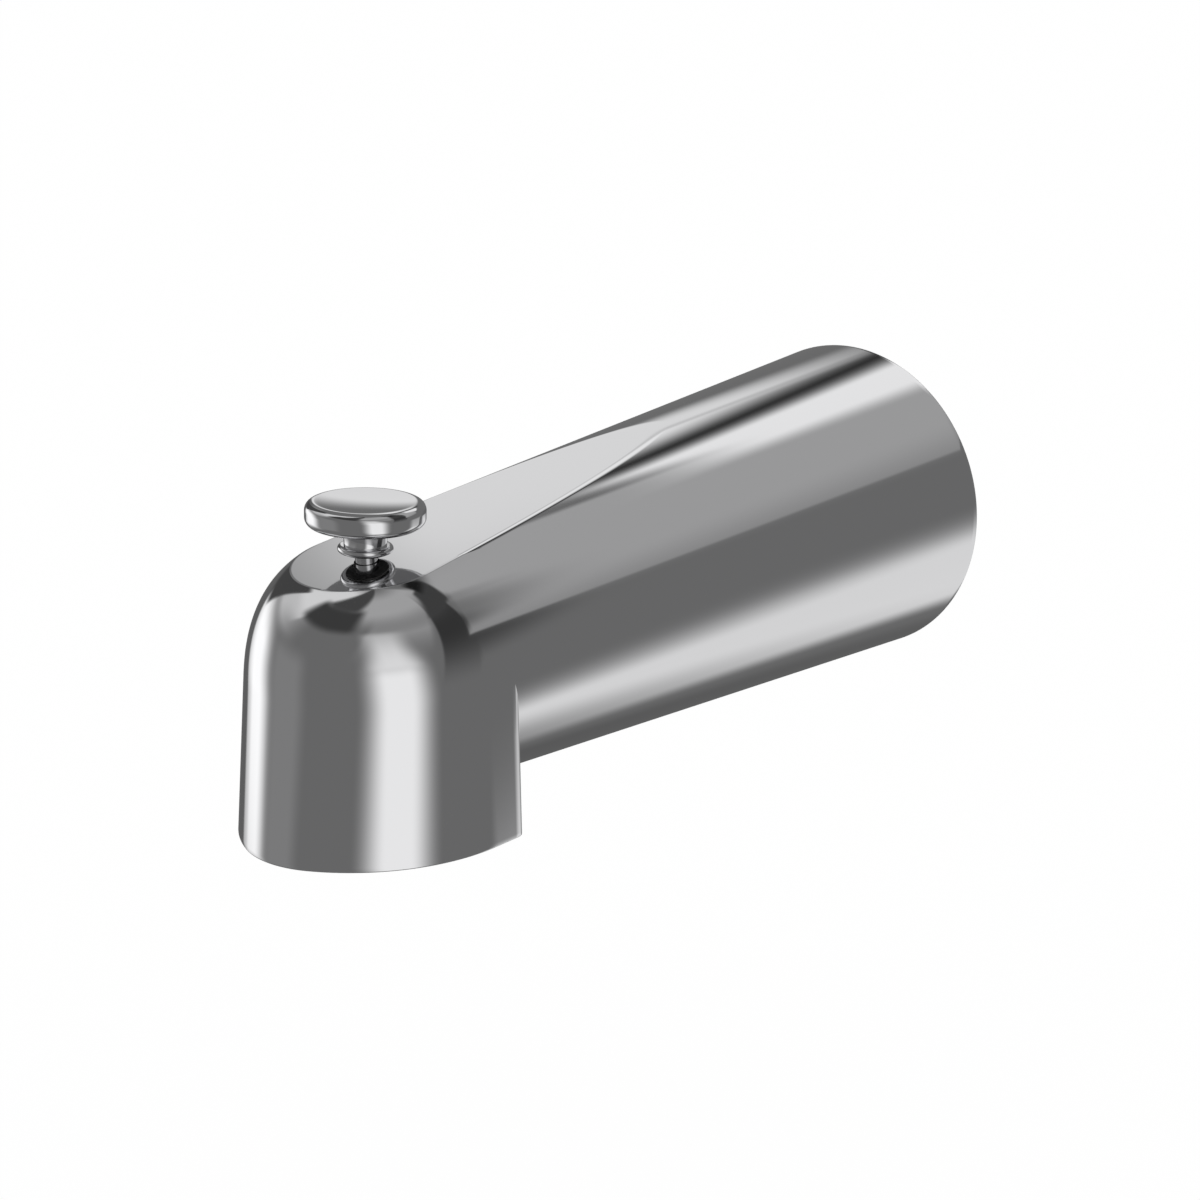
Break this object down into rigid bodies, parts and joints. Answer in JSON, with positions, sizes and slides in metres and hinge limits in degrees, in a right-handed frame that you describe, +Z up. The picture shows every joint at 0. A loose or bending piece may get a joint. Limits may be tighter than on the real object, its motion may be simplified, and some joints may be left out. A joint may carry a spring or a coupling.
{
  "type": "bath spout",
  "caption": "Slip-on bath spout: tapered round barrel, drop nose open below, flat ground across the top and a pull-up diverter knob that lifts a gate over the water port.",
  "frame": {"origin": "centre of the spout's wall end, in the plane of the finished wall", "axes": "-Y along the barrel, away from the wall; +Z up, towards the knob; +X to the right of someone facing the wall"},
  "size_m": [0.06, 0.1602, 0.06],
  "materials": {
    "polished_chrome": "polished",
    "turned_brass": "turned",
    "steel": "plain",
    "seal_rubber": "moulded",
    "moulding": "moulded"
  },
  "bodies": {
    "spout": {"spout_body": "polished_chrome", "wall_gasket": "seal_rubber", "wall_insert": "moulding", "insert_screw_left": "steel", "insert_screw_right": "steel", "inlet_adapter": "turned_brass", "adapter_circlip": "steel", "pipe_o_ring_outer": "seal_rubber", "pipe_o_ring_inner": "seal_rubber", "clamp_ring": "turned_brass", "set_screw": "steel", "spigot_o_ring": "seal_rubber", "waterway_tube": "moulding", "tube_o_ring": "seal_rubber", "gate_guide": "moulding", "guide_gasket": "seal_rubber", "guide_screw_left": "steel", "guide_screw_right": "steel", "rod_gland": "turned_brass", "rod_o_ring": "seal_rubber"},
    "diverter": {"diverter_knob": "polished_chrome", "lift_rod": "steel", "rod_clip": "steel", "gate": "moulding", "gate_seal": "seal_rubber"}
  },
  "joints": [
    {"name": "knob_pull", "type": "slide", "parent": "spout", "child": "diverter", "axis": [0, -0.0767, 0.9971], "range_m": [0, 0.011]}
  ]
}
